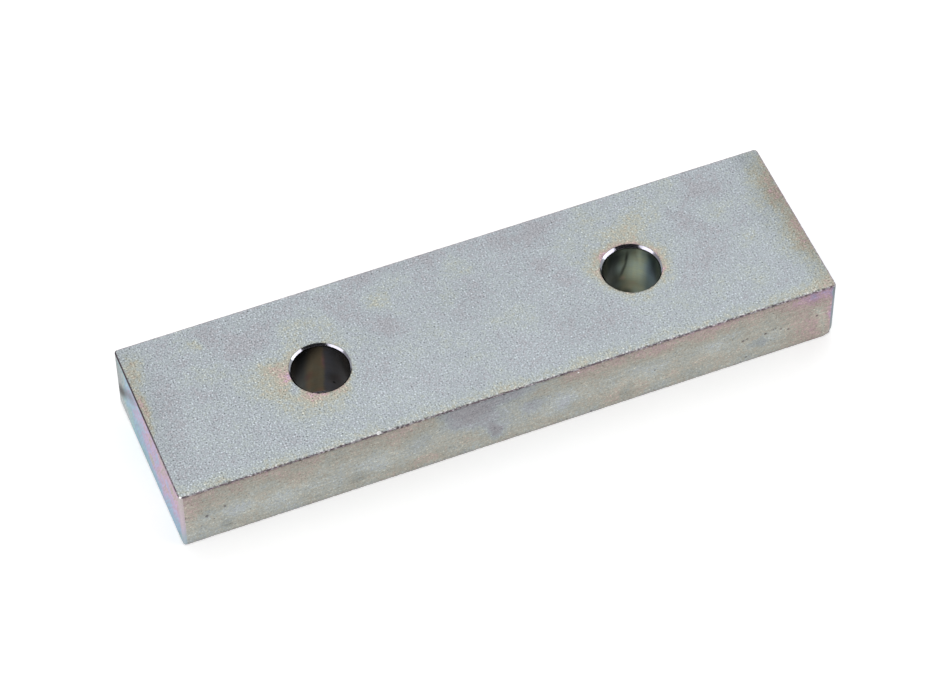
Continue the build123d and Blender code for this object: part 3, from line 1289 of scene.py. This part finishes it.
block_centre = (low + high) / 2 * MM


def softbox(name, place, size, brightness):
    """A rectangular lamp that faces the block, at (azimuth, elevation, distance) from it.

    Its brightness is what a mirror would show.
    """
    azimuth, elevation, distance = place
    lamp = bpy.data.lights.new(name, "AREA")
    lamp.shape = "RECTANGLE"
    lamp.size, lamp.size_y = size
    lamp.energy = brightness * math.pi * size[0] * size[1]
    away = direction(azimuth, elevation)
    box = in_scene(name, lamp)
    box.location = block_centre + away * distance
    box.rotation_euler = away.to_track_quat("Z", "Y").to_euler()


def staged(name, places, colour):
    """A flat piece of the studio, which isn't part of the block, and its material's nodes."""
    mesh = bpy.data.meshes.new(name)
    mesh.from_pydata(places, [], [(0, 1, 2, 3)])
    piece = in_scene(name, mesh)
    material = bpy.data.materials.new(name)
    material.use_nodes = True
    paint = material.node_tree.nodes["Principled BSDF"]
    paint.inputs["Base Color"].default_value = (colour, colour, colour, 1.0)
    paint.inputs["Roughness"].default_value = 0.9
    mesh.materials.append(material)
    return piece, material.node_tree


def studio_floor():
    """A pale floor, which keeps the block's shadow and shows white beyond it."""
    size, z = 3.0, low.z * MM
    places = [(-size, -size, z), (size, -size, z), (size, size, z), (-size, size, z)]
    _, tree = staged("studio_floor", places, 0.8)
    graph = Graph(tree)
    path = graph.node("ShaderNodeLightPath").outputs
    place = graph.scaled(graph.node("ShaderNodeTexCoord").outputs["Object"], 1 / MM)
    place = graph.vector("ABSOLUTE", place)
    place = graph.vector("SUBTRACT", place, (half_length, half_width, 0.0))
    split = graph.node("ShaderNodeSeparateXYZ", {"Vector": place}).outputs
    outside = graph.fade(graph.maths("MAXIMUM", split["X"], split["Y"]), -1.0, 0.0)
    to_camera = graph.product(path["Is Camera Ray"], outside, 0.45)
    strength = graph.maths("MAXIMUM", to_camera, graph.product(path["Is Glossy Ray"], 0.3))
    glow = graph.node("ShaderNodeEmission", {"Strength": strength})
    both = graph.node("ShaderNodeAddShader")
    graph.feed(both.inputs[0], tree.nodes["Principled BSDF"].outputs[0])
    graph.feed(both.inputs[1], glow.outputs[0])
    graph.feed(tree.nodes["Material Output"].inputs["Surface"], both.outputs[0])


def studio_world():
    """White to the camera, and an even grey light to everything else."""
    world = bpy.data.worlds.new("studio")
    world.use_nodes = True
    graph = Graph(world.node_tree)
    background = world.node_tree.nodes["Background"]
    background.inputs["Color"].default_value = (1.0, 1.0, 1.0, 1.0)
    path = graph.node("ShaderNodeLightPath").outputs
    strength = graph.fade(path["Is Camera Ray"], 0.0, 1.0, 0.55, 1.0)
    graph.feed(background.inputs["Strength"], strength)
    bpy.context.scene.world = world


def dark_card():
    """A dark card round the camera, seen only in the metal."""
    half_card, half_height, away = 0.5, 0.3, 0.6
    towards = direction(-97, 38)
    turn = towards.to_track_quat("Z", "Y").to_matrix()
    centre = block_centre + towards * away
    signs = ((-1, -1), (1, -1), (1, 1), (-1, 1))
    corners = [centre + turn @ Vector((x * half_card, y * half_height, 0)) for x, y in signs]
    card, _ = staged("dark_card", corners, 0.02)
    card.visible_camera = False


def camera():
    """The camera stands high before the block, a little to its left, and is rolled slightly."""
    azimuth, elevation, away = -90 - 21.56, 52.04, 0.5963
    roll = math.radians(-0.52)
    aim = block_centre + Vector((-0.79, -0.84, 0.0)) * MM
    lens = bpy.data.cameras.new("camera")
    lens.sensor_width = 36.0
    lens.lens = 147.1
    lens.clip_start, lens.clip_end = 0.05, 20.0
    towards = direction(azimuth, elevation)
    turn = towards.to_track_quat("Z", "Y").to_matrix() @ Matrix.Rotation(roll, 3, "Z")
    eye = in_scene("camera", lens)
    eye.matrix_world = Matrix.Translation(aim + towards * away) @ turn.to_4x4()
    bpy.context.scene.camera = eye


# ------------------------------------------------------------------------------------------
# The block, put together
# ------------------------------------------------------------------------------------------

FINISHES = {
    "Blasted face": blasted_face,
    "Drawn side": drawn_side,
    "Milled end": milled_end,
    "Dressed corner": dressed_corner,
    "Broken rim": broken_rim,
    "Countersunk mouth": countersunk_mouth,
    "Left bore wall": left_bore_wall,
    "Right bore wall": right_bore_wall,
}


def plated_block():
    """The block as one piece: its mesh, worn by Geometry Nodes, with a material for each finish."""
    mesh = block_mesh()
    numbers = np.empty(len(mesh.polygons), np.int32)
    mesh.polygons.foreach_get("material_index", numbers)
    finish = mesh.attributes.new("finish", "INT", "FACE")
    finish.data.foreach_set("value", numbers)
    mesh.polygons.foreach_set("material_index", np.zeros(len(numbers), np.int32))
    rough = in_scene("rough_block", mesh)
    wear = rough.modifiers.new("worn_edges", "NODES")
    wear.node_group = worn_edges_tree(FINISHES)
    sockets = {item.name: item.identifier for item in wear.node_group.interface.items_tree}
    for name, make in FINISHES.items():
        wear[sockets[name]] = make()
    worn = rough.evaluated_get(bpy.context.evaluated_depsgraph_get())
    finished = bpy.data.meshes.new_from_object(worn)
    bpy.data.objects.remove(rough)
    finished.materials.pop(index=0)
    block = in_scene("plated_block", finished)
    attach(block, BODY)
    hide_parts(NODE)


camera()
plated_block()
studio_floor()
studio_world()
dark_card()
softbox("right_softbox", (-30, 25, 0.6), (0.4, 0.4), 2.3)
softbox("left_softbox", (193, 30, 0.6), (0.45, 0.4), 2.3)
softbox("top_softbox", (69, 52, 0.9), (0.9, 0.9), 0.85)
bpy.context.scene.view_settings.view_transform = "Standard"

bpy.context.view_layer.update()
